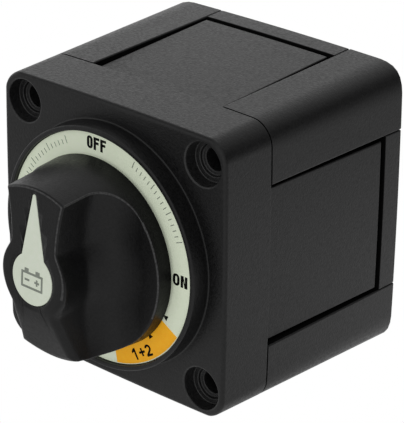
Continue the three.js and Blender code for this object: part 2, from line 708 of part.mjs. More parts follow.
const turning = group(
  mesh("knob", knob(), "knob"),
  mesh("knob_pointer", knobPointer(), "label"),
  mesh("knob_screw", knobScrew(), "steel"),
  mesh("rotor", rotor(), "base"),
  mesh("shaft_seal", shaftSeal(), "rubber"),
);
BOTH.forEach((side, i) => {
  turning.add(
    mesh(`contact_bar_${i + 1}`, contactBar(side), "copper"),
    mesh(`contact_spring_${i + 1}`, contactSpring(side), "steel"),
    mesh(`detent_ball_${i + 1}`, detentBall(DETENT_ANGLES[i]), "steel"),
    mesh(`detent_spring_${i + 1}`, detentSpring(DETENT_ANGLES[i]), "steel"),
  );
});

const cover = group(mesh("rear_cover", rearCover(), "body"));
["top", "right", "bottom", "left"].forEach((place, i) => {
  const made = sidePlate();
  const plate = mesh(`side_plate_${place}`, made, "body");
  plate.rotation.y = (i * Math.PI) / 2;
  cover.add(plate);
});

export default group(housing, turning, cover);
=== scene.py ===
"""Looks of a boat's battery switch: moulded housing, printed dial, grip knob, cable cover and terminals.

Lengths are millimetres in this file and become metres where a mesh is made. A height is measured
forwards from the front face of the housing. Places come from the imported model's own boxes.
"""

import json
import math

import bmesh
import bpy
from mathutils import Matrix, Vector
from mathutils.geometry import tessellate_polygon

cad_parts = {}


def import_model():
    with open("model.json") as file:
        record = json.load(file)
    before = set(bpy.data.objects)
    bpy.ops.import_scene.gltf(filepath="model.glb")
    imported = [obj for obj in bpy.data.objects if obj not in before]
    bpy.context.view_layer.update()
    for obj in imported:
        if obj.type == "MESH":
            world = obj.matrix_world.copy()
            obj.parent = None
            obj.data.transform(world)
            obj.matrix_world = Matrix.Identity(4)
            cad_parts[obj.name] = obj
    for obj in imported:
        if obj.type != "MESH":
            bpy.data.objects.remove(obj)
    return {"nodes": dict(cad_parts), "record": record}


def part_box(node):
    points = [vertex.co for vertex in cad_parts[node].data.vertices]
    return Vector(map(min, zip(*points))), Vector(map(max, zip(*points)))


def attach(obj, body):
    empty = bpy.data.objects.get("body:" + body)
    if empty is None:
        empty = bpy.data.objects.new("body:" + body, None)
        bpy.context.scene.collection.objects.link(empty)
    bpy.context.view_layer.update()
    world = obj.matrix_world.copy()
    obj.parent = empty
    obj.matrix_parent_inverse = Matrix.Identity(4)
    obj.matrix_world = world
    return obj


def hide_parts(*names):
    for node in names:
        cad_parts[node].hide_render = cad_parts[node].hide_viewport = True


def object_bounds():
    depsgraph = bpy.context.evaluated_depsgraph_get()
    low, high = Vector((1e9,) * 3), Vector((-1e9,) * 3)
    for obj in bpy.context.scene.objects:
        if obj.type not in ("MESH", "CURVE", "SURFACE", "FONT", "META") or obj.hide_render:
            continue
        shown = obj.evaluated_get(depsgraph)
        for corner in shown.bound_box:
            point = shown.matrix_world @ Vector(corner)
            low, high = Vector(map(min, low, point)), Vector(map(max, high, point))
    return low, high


MM = 0.001

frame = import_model()
cad_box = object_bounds()
mounts = {mount["name"]: mount for mount in frame["record"]["mounts"]}


def node_box(node):
    low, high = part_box(node)
    return low / MM, high / MM


# ---------- places read from the frame ----------
FRONT = mounts["front_face"]["pos_m"][1] / MM
HOUSING_LOW, HOUSING_HIGH = node_box("front_housing")
HOUSING_REAR = HOUSING_HIGH.y
COLLAR_HEIGHT = FRONT - HOUSING_LOW.y
COVER_LOW, COVER_HIGH = node_box("rear_cover")
COVER_FRONT, COVER_REAR = COVER_LOW.y, COVER_HIGH.y
REAR_HALF = COVER_HIGH.x
PLATE_LOW, PLATE_HIGH = node_box("side_plate_top")
LABEL_LOW, LABEL_HIGH = node_box("label_ring")
LABEL_R = LABEL_HIGH.x
LABEL_HEIGHT = FRONT - LABEL_LOW.y
KNOB_LOW, KNOB_HIGH = node_box("knob")
KNOB_R = KNOB_HIGH.x
KNOB_BASE = FRONT - KNOB_HIGH.y
NOSE_TOP = FRONT - KNOB_LOW.y
_, POINTER_HIGH = node_box("knob_pointer")

# ---------- shape of the mouldings ----------
HALF = 35  # half-width of the front face
CORNER_R = 5.5
CROWN = 0.45  # how much lower a side lies at its corners than in its middle
SIDE_BAND = 2.2  # points deeper than this don't follow the sides
FRONT_EDGE = 0.9  # rounding of the housing's front edge
SMALL_EDGE = 0.3  # rounding of every other long edge
HOLE_AT = 28
HOLE_R = 2.7
HEAD_R = 5.2
HEAD_RIM = 0.45
HEAD_DEPTH = 3.4
STEP_R = 3.8
STEP_DEPTH = 4.2
COLLAR_R = 29.9
COLLAR_FLARE = 0.2
DIAL_R = LABEL_R + 0.2
DIAL_HEIGHT = LABEL_HEIGHT - 0.6
LABEL_BORE_R = 9
LABEL_THICK = 0.5
PRINT_LIFT = 0.03  # the print stands this proud of what it is on
AMBER_SPAN = (121, 169)  # places on the dial are degrees clockwise from its top
ARROWS_AT = (117, 137, 180)
BOTH_AT = 149
TICK_HALF = 0.22
LETTER_SHARE = 0.86  # of its share of a word's width, that a character fills
CHAMBER_R = 27.6
CHAMBER_HEIGHT = 0.6
SHAFT_R = 8.5
SOCKET_DEPTH = 9.5
SOCKET = (28.4, 21)
WINDOW = 20.3  # half-width of the openings between the posts
GROOVE_IN, GROOVE_OUT = 28.95, 31
GROOVE_REACH = 1.9
SLAB = 2.5  # thickness of the cover's rear wall
STRIP = 5.8
PLATE_RECESS = (1.0, 0.2)  # a side plate's face below the posts, at its front edge and at its rear strip
PLATE_GAP = (1.1, 1.45)  # open grooves between that face and the posts, and the rear strip
PLATE_LEDGE = 31.4
SEAM_EDGE = 0.12
SEAM_BAND = 1.2  # width of the band of painted shade behind the housing's rear edge

# ---------- shape of the knob ----------
DRAFT = 0.07
RIM_HEIGHT = 9
RIM_ROUND = 0.5
SCOOP_REACH, SCOOP_RISE = 10.5, 8  # the hollow beside the grip, across and along the axis
WAIST = 7
END_FLARE = 1.9
END_AT = 20
SWELL_R = 10
SWELL_BLEND = 1.6
SWELL_FADE = 0.45  # share of the swelling that is left at the foot of the grip
RIDGE = 0.35  # rounding of the ridge between a scoop and the wall
NOSE_EDGE = 0.7
TAIL_EDGE = 1.9
NOSE_TILT = 0.065
TAIL_START = 8
GRIP_HEIGHT = NOSE_TOP - NOSE_TILT * TAIL_START
TAIL_SLOPE = 0.4
TAIL_BLEND = 3
KNOB_ROOM_R, KNOB_ROOF = 20.8, 7  # the hollow under the skirt
HUB_R = 10.5
HUB_BORE_R, HUB_ROOF = 7.4, 18.4
POINTER_R = POINTER_HIGH.x
POINTER_TIP = 20.4
POINTER_ROOT = 3.5
POINTER_END = 0.5
POINTER_GAP = 0.18
POINTER_THICK = 0.9


# ---------- shape of the terminals ----------
STUD_R = 4.9
STUD_HEAD_THICK = 4.7
STUD_CHAMFER = 1.1
THREAD_FROM = -33.5
THREAD_PITCH = 1.5
THREAD_DEPTH = 0.75
THREAD_STEP = 0.25
THREAD_COUNT = 24


# ---------- outlines ----------
def fillet(corners, steps=4):
    """Closed outline through (u, v, radius) corners, each rounded by an arc."""
    outline = []
    count = len(corners)
    for i, (u, v, radius) in enumerate(corners):
        here = Vector((u, v))
        if not radius:
            outline.append(here)
            continue
        before = (Vector(corners[i - 1][:2]) - here).normalized()
        after = (Vector(corners[(i + 1) % count][:2]) - here).normalized()
        half = before.angle(after) / 2
        centre = here + (before + after).normalized() * (radius / math.sin(half))
        start = here + before * (radius / math.tan(half)) - centre
        turn = start.angle_signed(here + after * (radius / math.tan(half)) - centre)
        for k in range(steps + 1):
            outline.append(centre + rotated(start, -turn * k / steps))
    return outline


def rotated(v, angle):
    c, s = math.cos(angle), math.sin(angle)
    return Vector((v.x * c - v.y * s, v.x * s + v.y * c))


def offset(outline, inward):
    """The outline moved towards the inside of a counter-clockwise loop."""
    moved = []
    count = len(outline)
    for i, here in enumerate(outline):
        a = (here - outline[i - 1]).normalized()
        b = (outline[(i + 1) % count] - here).normalized()
        normal = Vector((-a.y - b.y, a.x + b.x)).normalized()
        stretch = max(0.5, math.sqrt((1 + a.dot(b)) / 2))
        moved.append(here + normal * (inward / stretch))
    return moved


def circle(radius, count, x=0.0, z=0.0):
    turns = [2 * math.pi * i / count for i in range(count)]
    return [Vector((x + radius * math.cos(a), z + radius * math.sin(a))) for a in turns]


def growth(y):
    """The body's sides move apart towards the rear."""
    return 1 + (REAR_HALF / HALF - 1) * (y - FRONT) / (COVER_REAR - FRONT)


def at_depth(point, y):
    """Where a point of the body's front outline is at y. A side stands slightly proud in its middle."""
    if max(abs(point.x), abs(point.y)) < HALF - SIDE_BAND:
        return point.copy()
    moved = []
    for here, other in ((point.x, point.y), (point.y, point.x)):
        share = smooth_step((abs(here) - GROOVE_IN) / 4)
        out = abs(here) * (1 + (growth(y) - 1) * share) - CROWN * (other / HALF) ** 2 * share
        moved.append(math.copysign(out, here))
    return Vector(moved)


def smooth_step(share):
    share = min(1, max(0, share))
    return share * share * (3 - 2 * share)


def quarter(radius, steps=4, outward=True):
    """(inset, run) pairs of a rounded edge, from the inset face to the wall it joins."""
    turns = [math.pi / 2 * i / steps for i in range(steps + 1)]
    pairs = [(radius * (1 - math.sin(a)), radius * (1 - math.cos(a))) for a in turns]
    return pairs if outward else pairs[::-1]


def body_outline(inset, y):
    """The square body's outline at y, seen from the front, counter-clockwise."""
    r = CORNER_R
    corners = [(HALF, -HALF, r), (HALF, HALF, r), (-HALF, HALF, r), (-HALF, -HALF, r)]
    outline = fillet(corners, 14)
    dense = []
    for i, here in enumerate(outline):
        dense.append(here)
        step = outline[(i + 1) % len(outline)] - here
        if step.length > CORNER_R:
            dense += [here + step * (k / 12) for k in range(1, 12)]
    warped = [at_depth(p, y) for p in dense]
    return offset(warped, inset) if inset else warped


# ---------- meshes ----------
def added(name, data):
    made = bpy.data.objects.new(name, data)
    bpy.context.scene.collection.objects.link(made)
    return made


class Shell:
    """A closed skin built from rings of vertices."""

    def __init__(self):
        self.bm = bmesh.new()

    def ring(self, outline, y):
        return [self.bm.verts.new((p.x, y, p.y)) for p in outline]

    def loose(self, points):
        return [self.bm.verts.new(point) for point in points]

    def skin(self, *rings, look=0, closed=True):
        for a, b in zip(rings, rings[1:]):
            last = len(a) if closed else len(a) - 1
            for i in range(last):
                j = (i + 1) % len(a)
                quad = [a[i], a[j], b[j], b[i]]
                face = self.bm.faces.new(dict.fromkeys(quad))
                face.material_index = look(i, a) if callable(look) else look

    def fill(self, *loops, look=0):
        """Flat face between an outer loop and the loops inside it."""
        corners = [corner for loop in loops for corner in loop]
        flat = [[Vector((v.co.x, v.co.z, 0)) for v in loop] for loop in loops]
        for triangle in tessellate_polygon(flat):
            trio = [corners[i] for i in triangle]
            if len(set(trio)) == 3 and not self.bm.faces.get(trio):
                self.bm.faces.new(trio).material_index = look

    def turned(self, profile, count, x=0.0, z=0.0, look=0):
        """Rings of a round surface about a line along Y. The profile is a list of (radius, y)."""
        rings = [self.ring(circle(r, count, x, z), y) for r, y in profile]
        self.skin(*rings, look=look)
        return rings

    def build(self, name, looks, smooth_below=38):
        bmesh.ops.remove_doubles(self.bm, verts=self.bm.verts, dist=1e-4)
        bmesh.ops.dissolve_degenerate(self.bm, edges=self.bm.edges, dist=1e-4)
        bmesh.ops.recalc_face_normals(self.bm, faces=self.bm.faces)
        bmesh.ops.scale(self.bm, vec=(MM, MM, MM), verts=self.bm.verts)
        mesh = bpy.data.meshes.new(name)
        self.bm.to_mesh(mesh)
        self.bm.free()
        made = added(name, mesh)
        for look in looks:
            mesh.materials.append(look)
        shade(made, smooth_below)
        return made


def shade(made, smooth_below=38):
    """Smooth shading that keeps flat faces flat and sharp edges sharp."""
    mesh = made.data
    mesh.polygons.foreach_set("use_smooth", [True] * len(mesh.polygons))
    mesh.set_sharp_from_angle(angle=math.radians(smooth_below))
    weighted = made.modifiers.new("flat_faces_stay_flat", "WEIGHTED_NORMAL")
    weighted.keep_sharp = True
    weighted.weight = 100


def profile_of(corners, steps=4):
    """(radius, y) list through (radius, y, rounding) corners, open at both ends."""
    points = fillet([(*corners[0][:2], 0), *corners[1:-1], (*corners[-1][:2], 0)], steps)
    return [(p.x, p.y) for p in points]


# ---------- materials ----------
def socket(shader, name, value):
    shader.inputs[name].default_value = value


def calculated(tree, operation, *values):
    node = tree.nodes.new("ShaderNodeMath")
    node.operation = operation
    for into, value in zip(node.inputs, values):
        if isinstance(value, (int, float)):
            into.default_value = value
        else:
            tree.links.new(value, into)
    return node.outputs["Value"]


def axes(tree, place):
    """The three components of a place or a direction."""
    node = tree.nodes.new("ShaderNodeSeparateXYZ")
    tree.links.new(place, node.inputs["Vector"])
    return [node.outputs[axis] for axis in "XYZ"]


class Look:
    """A material whose colour, roughness and relief vary over the piece, in its own coordinates."""

    def __init__(self, name, roughness, metallic=0.0, specular=0.5):
        self.material = bpy.data.materials.new(name)
        self.material.use_nodes = True
        self.tree = self.material.node_tree
        self.nodes = self.tree.nodes
        self.links = self.tree.links
        self.shader = self.nodes["Principled BSDF"]
        socket(self.shader, "Roughness", roughness)
        socket(self.shader, "Metallic", metallic)
        socket(self.shader, "Specular IOR Level", specular)
        self.place = self.nodes.new("ShaderNodeTexCoord").outputs["Object"]
        self.relief = None

    def noise(self, size, detail=2.0, place=None):
        """Noise whose lumps are about this many millimetres across."""
        node = self.nodes.new("ShaderNodeTexNoise")
        node.inputs["Scale"].default_value = 1 / (size * MM)
        node.inputs["Detail"].default_value = detail
        self.links.new(place or self.place, node.inputs["Vector"])
        return node.outputs["Fac"]

    def stretched(self, x, y, z):
        node = self.nodes.new("ShaderNodeMapping")
        node.inputs["Scale"].default_value = (x, y, z)
        self.links.new(self.place, node.inputs["Vector"])
        return node.outputs["Vector"]

    def ranged(self, value, start, end, low=0.0, high=1.0):
        """Goes from low to high as the value goes from start to end."""
        node = self.nodes.new("ShaderNodeMapRange")
        for name, limit in (("From Min", start), ("From Max", end), ("To Min", low), ("To Max", high)):
            node.inputs[name].default_value = limit
        self.links.new(value, node.inputs["Value"])
        return node.outputs["Result"]

    def spread(self, noise, low, high):
        return self.ranged(noise, 0.3, 0.7, low, high)

    def painted(self, factor, second):
        """Makes the base colour a mix that ends at the second colour. Gives the socket of its first."""
        mix = self.nodes.new("ShaderNodeMix")
        mix.data_type = "RGBA"
        mix.inputs["B"].default_value = (*second, 1)
        self.links.new(factor, mix.inputs["Factor"])
        self.links.new(mix.outputs["Result"], self.shader.inputs["Base Color"])
        return mix.inputs["A"]

    def colour(self, dark, light, noise):
        self.painted(self.spread(noise, 0, 1), light).default_value = (*dark, 1)

    def painted_edge_highlight(self, width, pale):
        """Painted highlight: a paler, patchy line along the edges, this many millimetres wide."""
        softened = self.nodes.new("ShaderNodeBevel")
        softened.samples = 4
        softened.inputs["Radius"].default_value = width * MM
        turned_by = self.nodes.new("ShaderNodeVectorMath")
        turned_by.operation = "DOT_PRODUCT"
        self.links.new(softened.outputs["Normal"], turned_by.inputs[0])
        self.links.new(self.nodes.new("ShaderNodeNewGeometry").outputs["Normal"], turned_by.inputs[1])
        edge = self.ranged(turned_by.outputs["Value"], 0.995, 0.85)
        patches = self.spread(self.noise(1.2, 3), 0.35, 1)
        before = self.shader.inputs["Base Color"].links[0].from_socket
        self.links.new(before, self.painted(calculated(self.tree, "MULTIPLY", edge, patches), pale))

    def vary_roughness(self, low, high, noise):
        self.links.new(self.spread(noise, low, high), self.shader.inputs["Roughness"])

    def bump(self, noise, depth, strength=1.0):
        node = self.nodes.new("ShaderNodeBump")
        node.inputs["Distance"].default_value = depth * MM
        node.inputs["Strength"].default_value = strength
        self.links.new(noise, node.inputs["Height"])
        if self.relief:
            self.links.new(self.relief, node.inputs["Normal"])
        self.relief = node.outputs["Normal"]
        self.links.new(self.relief, self.shader.inputs["Normal"])


def moulded(name, dark, light, roughness, grain, depth, specular=0.4, edge_highlight_width=0.0):
    look = Look(name, roughness, specular=specular)
    look.colour(dark, light, look.noise(0.55, 4))
    if edge_highlight_width:
        look.painted_edge_highlight(edge_highlight_width, (0.03, 0.03, 0.031))
    look.vary_roughness(roughness - 0.08, roughness + 0.09, look.noise(0.7))
    look.bump(look.noise(grain, 3), depth)
    return look.material


def metal(name, dark, light, roughness, drawn=(1, 1, 1)):
    look = Look(name, roughness, metallic=1.0)
    marks = look.noise(0.5, 4, look.stretched(*drawn))
    look.colour(dark, light, marks)
    look.vary_roughness(roughness - 0.07, roughness + 0.1, marks)
    look.bump(marks, 0.004, 0.6)
    return look.material


def printed(name, dark, light, roughness=0.5, specular=0.4, glow=0.0):
    look = Look(name, roughness, specular=specular)
    look.colour(dark, light, look.noise(1.5, 3))
    # Emission in the light colour: painted light that makes the print glow.
    socket(look.shader, "Emission Color", (*light, 1))
    socket(look.shader, "Emission Strength", glow)
    look.vary_roughness(roughness - 0.05, roughness + 0.08, look.noise(0.8))
    look.bump(look.noise(0.35), 0.004)
    return look.material


def knob_plastic():
    """Satin plastic whose reflection is turned down on the skirt, next to the dial: painted shade that hides
    the dial's reflection there.
    """
    look = Look("knob_plastic_satin", 0.36)
    look.colour((0.003, 0.003, 0.0032), (0.0095, 0.0095, 0.0098), look.noise(0.55, 4))
    # The knob's edges carry a painted highlight.
    look.painted_edge_highlight(0.4, (0.11, 0.11, 0.112))
    look.vary_roughness(0.29, 0.44, look.noise(0.7))
    look.bump(look.noise(0.4, 3), 0.05)
    foot = (FRONT - KNOB_BASE) * MM
    skirt_reflection_cut = look.ranged(axes(look.tree, look.place)[1], foot, foot - 6 * MM, 0.02, 0.34)
    look.links.new(skirt_reflection_cut, look.shader.inputs["Specular IOR Level"])
    return look.material


# The housing's edges carry a painted highlight.
BLACK = moulded("housing_plastic", (0.003, 0.003, 0.0032), (0.0105, 0.0105, 0.0108), 0.37, 0.45, 0.06,
                edge_highlight_width=0.5)
# Painted shade: a near-black plastic laid on seams, gap and groove walls and the knob's foot, where shade
# falls.
SHADOW = moulded("painted_shade_plastic", (0.002, 0.002, 0.002), (0.003, 0.003, 0.003), 0.8, 0.5, 0.01, 0.1)
# Painted light: the screw holes' walls are paler than the rest of the same moulding.
BORE = moulded("screw_hole_painted_light_plastic", (0.010, 0.010, 0.0103), (0.027, 0.027, 0.0274), 0.34, 0.5, 0.05, 0.5)
SATIN = knob_plastic()
# A paler plastic that paints highlights on the knob's rim, ridges and nose edge.
EDGE_HIGHLIGHT_PLASTIC = moulded("knob_plastic_painted_highlight", (0.02, 0.02, 0.02), (0.085, 0.085, 0.086), 0.36, 0.4, 0.03)
BASE = moulded("base_plastic_filled", (0.015, 0.015, 0.016), (0.024, 0.024, 0.026), 0.5, 0.6, 0.03)
# The label film and the pointer inlay glow: painted light that lifts their shade.
CREAM = printed("label_film", (0.80, 0.88, 0.68), (0.85, 0.92, 0.73), glow=0.19)
INLAY = printed("pointer_inlay", (0.83, 0.90, 0.74), (0.88, 0.94, 0.80), glow=0.08)
INK = printed("print_black", (0.003, 0.003, 0.003), (0.006, 0.006, 0.006), 0.6, 0.05)
GREY_INK = printed("print_grey", (0.27, 0.30, 0.25), (0.33, 0.36, 0.31), 0.5)
# The amber print glows: painted light that brightens it.
AMBER = printed("print_amber", (0.95, 0.42, 0.012), (0.98, 0.48, 0.02), 0.5, 0.2, 0.25)
RUBBER = moulded("seal_rubber", (0.01, 0.01, 0.01), (0.016, 0.016, 0.016), 0.75, 0.4, 0.02, 0.3)
TINNED = metal("stud_tinned", (0.60, 0.58, 0.54), (0.72, 0.70, 0.65), 0.3)
COPPER = metal("contact_copper", (0.62, 0.33, 0.17), (0.78, 0.45, 0.25), 0.28, (6, 1, 1))
STEEL = metal("hardware_steel", (0.50, 0.50, 0.50), (0.64, 0.64, 0.64), 0.27)
SPRING = metal("spring_steel_wire", (0.42, 0.42, 0.43), (0.55, 0.55, 0.56), 0.3)


# ---------- front housing ----------
def mounting_hole(shell, x, z):
    """Walls of one counterbored screw hole. Gives its first and last ring."""
    wall = [
        (HEAD_R + HEAD_RIM + 0.01, FRONT, 0),
        (HEAD_R, FRONT, HEAD_RIM),
        (HEAD_R, FRONT + HEAD_DEPTH, SMALL_EDGE),
        (STEP_R, FRONT + HEAD_DEPTH, SMALL_EDGE),
        (STEP_R, FRONT + STEP_DEPTH, SMALL_EDGE),
        (HOLE_R, FRONT + STEP_DEPTH, SMALL_EDGE),
        (HOLE_R, HOUSING_REAR, 0),
    ]
    rings = shell.turned(profile_of(wall), 40, x, z, look=2)
    return rings[0], rings[-1]


def collar_and_chamber(shell):
    """Round surfaces from the rotor's room, over the dial floor and the collar, to the front face."""
    top = FRONT - COLLAR_HEIGHT
    floor = FRONT - DIAL_HEIGHT
    room = FRONT - CHAMBER_HEIGHT
    wall = [
        (CHAMBER_R, FRONT + SOCKET_DEPTH, 0),
        (CHAMBER_R, room, 0.8),
        (SHAFT_R, room, SMALL_EDGE),
        (SHAFT_R, floor, SMALL_EDGE),
        (DIAL_R, floor, 0.15),
        (DIAL_R, top, 0.25),
        (COLLAR_R, top, 0.45),
        (COLLAR_R + COLLAR_FLARE, FRONT, 0.35),
        (COLLAR_R + COLLAR_FLARE + 0.8, FRONT, 0),
    ]
    rings = shell.turned(profile_of(wall), 144)
    return rings[0], rings[-1]


def front_housing():
    shell = Shell()
    front = [(inset, FRONT + run) for inset, run in quarter(FRONT_EDGE)]
    rear = [(inset, HOUSING_REAR - run) for inset, run in quarter(SEAM_EDGE, 3, outward=False)]
    outside = [shell.ring(body_outline(inset, y), y) for inset, y in front + rear]
    shell.skin(*outside[:-2])
    # The rear edge's rounding and a band of the rear face get painted shade, darkening the seam to the
    # cover.
    shell.skin(*outside[-3:], look=1)
    holes = [mounting_hole(shell, sx * HOLE_AT, sz * HOLE_AT) for sx in (-1, 1) for sz in (-1, 1)]
    chamber, collar = collar_and_chamber(shell)
    shell.fill(outside[0], collar, *(first for first, _ in holes))
    flat, corner = SOCKET
    square = [(flat, -corner), (flat, corner), (corner, flat), (-corner, flat)]
    octagon = fillet([(x, z, 1) for x, z in square + [(-x, -z) for x, z in square]])
    mouth = shell.ring(octagon, HOUSING_REAR)
    socket_floor = shell.ring(octagon, FRONT + SOCKET_DEPTH)
    shell.skin(mouth, socket_floor)
    shell.fill(socket_floor, chamber)
    band = shell.ring(body_outline(SEAM_EDGE + SEAM_BAND, HOUSING_REAR), HOUSING_REAR)
    shell.skin(outside[-1], band, look=1)
    shell.fill(band, mouth, *(last for _, last in holes))
    made = shell.build("housing_moulding", [BLACK, SHADOW, BORE])
    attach(made, "housing")
    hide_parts("front_housing")


# ---------- dial label and its print ----------
def dial_point(degrees, radius):
    """x, z of a dial angle, clockwise from the top as seen from the front."""
    a = math.radians(degrees)
    return radius * math.sin(a), radius * math.cos(a)


def label():
    shell = Shell()
    front, back = FRONT - LABEL_HEIGHT, FRONT - LABEL_HEIGHT + LABEL_THICK
    bore = LABEL_BORE_R
    wall = [(bore, front, 0.1), (LABEL_R, front, 0.15), (LABEL_R, back, 0.1), (bore, back, 0.1)]
    rings = [shell.ring(circle(p.x, 144), p.y) for p in fillet(wall)]
    shell.skin(*rings, rings[0])
    made = shell.build("dial_label_film", [CREAM])
    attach(made, "housing")
    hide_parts("label_ring")


def raised(shell, outlines, surface):
    """One flat raised shape: its outline, then the outlines of its holes."""
    lower = [shell.ring(outline, surface) for outline in outlines]
    upper = [shell.ring(outline, surface - PRINT_LIFT) for outline in outlines]
    for a, b in zip(lower, upper):
        shell.skin(a, b)
    shell.fill(*lower)
    shell.fill(*upper)


def flat_print(name, outlines, surface, look, turn=0.0, at=(0.0, 0.0)):
    """Thin raised print from closed outlines in x, z, turned clockwise about its own middle."""
    shell = Shell()
    spin = -math.radians(turn)
    for outline in outlines:
        raised(shell, [[rotated(Vector(p), spin) + Vector(at) for p in outline]], surface)
    made = shell.build(name, [look])
    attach(made, "housing")


def ring_sector(inner, outer, start, end, steps=48):
    turns = [start + (end - start) * i / steps for i in range(steps + 1)]
    return [dial_point(a, outer) for a in turns] + [dial_point(a, inner) for a in reversed(turns)]


def glyph(character, width, height, stroke):
    """Loops of one bold upright character, about its middle. A second loop is its hole."""
    w, h, t = width / 2, height / 2, stroke
    if character == "O":
        return [fillet([(w, -h, w * 0.95), (w, h, w * 0.95), (-w, h, w * 0.95), (-w, -h, w * 0.95)], 6),
                fillet([(w - t, t * 0.8 - h, w - t - 0.05), (w - t, h - t * 0.8, w - t - 0.05),
                        (t - w, h - t * 0.8, w - t - 0.05), (t - w, t * 0.8 - h, w - t - 0.05)], 6)]
    if character == "F":
        middle = 0.1 * h
        return [[(-w, -h), (t - w, -h), (t - w, middle - t * 0.4), (w * 0.75, middle - t * 0.4),
                 (w * 0.75, middle + t * 0.45), (t - w, middle + t * 0.45), (t - w, h - t * 0.85),
                 (w, h - t * 0.85), (w, h), (-w, h)]]
    if character == "N":
        return [[(-w, -h), (t - w, -h), (t - w, h * 0.35), (w - t * 1.15, -h), (w, -h), (w, h), (w - t, h),
                 (w - t, -h * 0.35), (t * 1.15 - w, h), (-w, h)]]
    if character == "1":
        return [[(-t / 2, -h), (t / 2, -h), (t / 2, h), (-t / 2, h), (-w, h * 0.55), (-w, h * 0.2),
                 (-t / 2, h * 0.45)]]
    if character == "+":
        return [[(-w, -t / 2), (-t / 2, -t / 2), (-t / 2, -w), (t / 2, -w), (t / 2, -t / 2), (w, -t / 2),
                 (w, t / 2), (t / 2, t / 2), (t / 2, w), (-t / 2, w), (-t / 2, t / 2), (-w, t / 2)]]
    return [two(w, h, t)]


def two(w, h, t):
    """A bold figure 2: a bow, a diagonal and a foot."""
    centre = h - w
    turns = [math.radians(165 - 18 * i) for i in range(12)]
    outer = [(w * math.cos(a), centre + w * math.sin(a)) for a in turns]
    inner = [((w - t) * math.cos(a), centre + (w - t) * math.sin(a)) for a in turns]
    foot = [(t * 0.45 - w * 0.25, t - h), (w, t - h), (w, -h), (-w, -h), (-w, t * 0.9 - h)]
    return outer + foot + list(reversed(inner))


def lettering(name, words, x, z, width, height, stroke, surface, turn=0.0):
    """Raised black characters spread over a width, turned clockwise about their own middle."""
    shell = Shell()
    share = width / len(words)
    spin = -math.radians(turn)
    for i, character in enumerate(words):
        middle = rotated(Vector((share * (i + 0.5) - width / 2, 0)), spin) + Vector((x, z))
        loops = glyph(character, share * LETTER_SHARE, height, stroke)
        raised(shell, [[rotated(Vector(p), spin) + middle for p in loop] for loop in loops], surface)
    made = shell.build(name, [INK])
    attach(made, "housing")


def dial_print():
    surface = FRONT - LABEL_HEIGHT
    flat_print("amber_sector", [ring_sector(21, LABEL_R - 0.25, *AMBER_SPAN)], surface, AMBER)
    lettering("print_off", "OFF", -0.6, 26.0, 6.3, 3.1, 0.74, surface)
    lettering("print_on", "ON", 25.1, 0.1, 4.7, 2.95, 0.74, surface)
    both = dial_point(BOTH_AT, 25.9)
    lettering("print_both", "1+2", *both, 7, 2.9, 0.55, surface - PRINT_LIFT, BOTH_AT - 180)
    for place, first in (("right", 24), ("left", 292)):
        ticks = [ring_sector(25.6, 26.8 if i % 5 else 27.5, a - TICK_HALF, a + TICK_HALF, 2)
                 for i, a in enumerate(range(first, first + 46, 3))]
        flat_print(f"dial_ticks_{place}", ticks, surface, GREY_INK)
    arrow = [(-0.75, 0.55), (0.75, 0.55), (0, -0.9)]
    for angle in ARROWS_AT:
        flat_print(f"dial_arrow_{angle}", [arrow], surface - PRINT_LIFT, INK, angle, dial_point(angle, 23.3))


# ---------- knob ----------
def smooth_max(a, b, blend):
    overlap = max(blend - abs(a - b), 0) / blend
    return max(a, b) + overlap * overlap * blend / 4


def grip_half_width(z, swelling=1.0):
    waist = WAIST + END_FLARE * abs(z / END_AT) ** 3
    swell = math.sqrt(max(0, SWELL_R**2 - z * z))
    return waist + (smooth_max(waist, swell, SWELL_BLEND) - waist) * swelling


def nose_edge(z):
    """Rounding of the nose's edge: crisp towards the pointer's tip, soft at the tail."""
    return NOSE_EDGE + (TAIL_EDGE - NOSE_EDGE) * smooth_step((4 - z) / 14)


def nose_height(z):
    """Height of the nose face over its middle line: a slight fall upwards, a steeper one at the tail."""
    tail = smooth_max(-z - TAIL_START, 0, TAIL_BLEND)
    return GRIP_HEIGHT - NOSE_TILT * z - (TAIL_SLOPE + NOSE_TILT) * tail


def wall_radius(height):
    return KNOB_R - DRAFT * (height - KNOB_BASE)


ARC_POINTS, RIDGE_POINTS, SIDE_POINTS = 22, 7, 34


def grip_quadrant(wall_r, half_width):
    """From the end of the grip round to its side: the wall, the ridge, then down the side."""
    def chord(z):
        return math.sqrt(max(0, wall_r**2 - z * z))

    low, high = 0.0, wall_r
    for _ in range(40):
        middle = (low + high) / 2
        if half_width(middle) < chord(middle):
            low = middle
        else:
            high = middle
    ridge = min(RIDGE, low / 3)
    arc_end = math.acos(low / wall_r) - ridge / wall_r
    arc = [Vector((wall_r * math.sin(a), wall_r * math.cos(a)))
           for a in (arc_end * i / ARC_POINTS for i in range(ARC_POINTS + 1))]
    below = low - ridge

    def side(z):
        return Vector((min(half_width(z), chord(z)), z))

    bend = []
    for i in range(1, RIDGE_POINTS):
        t = i / RIDGE_POINTS
        bend.append(arc[-1] * (1 - t) ** 2 + side(low) * (2 * t * (1 - t)) + side(below) * t * t)
    down = [side(below * (1 - i / SIDE_POINTS)) for i in range(SIDE_POINTS + 1)]
    return arc + bend + down


def whole_outline(upper, lower):
    """Mirrored quadrants, clockwise from the top as seen from the front."""
    right = upper + [Vector((p.x, -p.y)) for p in reversed(lower[:-1])]
    left = [Vector((-p.x, p.y)) for p in reversed(right[1:-1])]
    return right + left


def grip_ring(wall_r, half_width):
    return whole_outline(grip_quadrant(wall_r, half_width), grip_quadrant(wall_r, half_width))


def nose_ring(wall_r, round_share):
    """The grip's outline drawn in by a share of the rounding of the nose's edge."""
    def above(z):
        return grip_half_width(z) - nose_edge(z) * round_share

    def below(z):
        return grip_half_width(z) - nose_edge(-z) * round_share

    upper = grip_quadrant(wall_r - nose_edge(wall_r) * round_share, above)
    lower = grip_quadrant(wall_r - nose_edge(-wall_r) * round_share, below)
    return whole_outline(upper, lower)


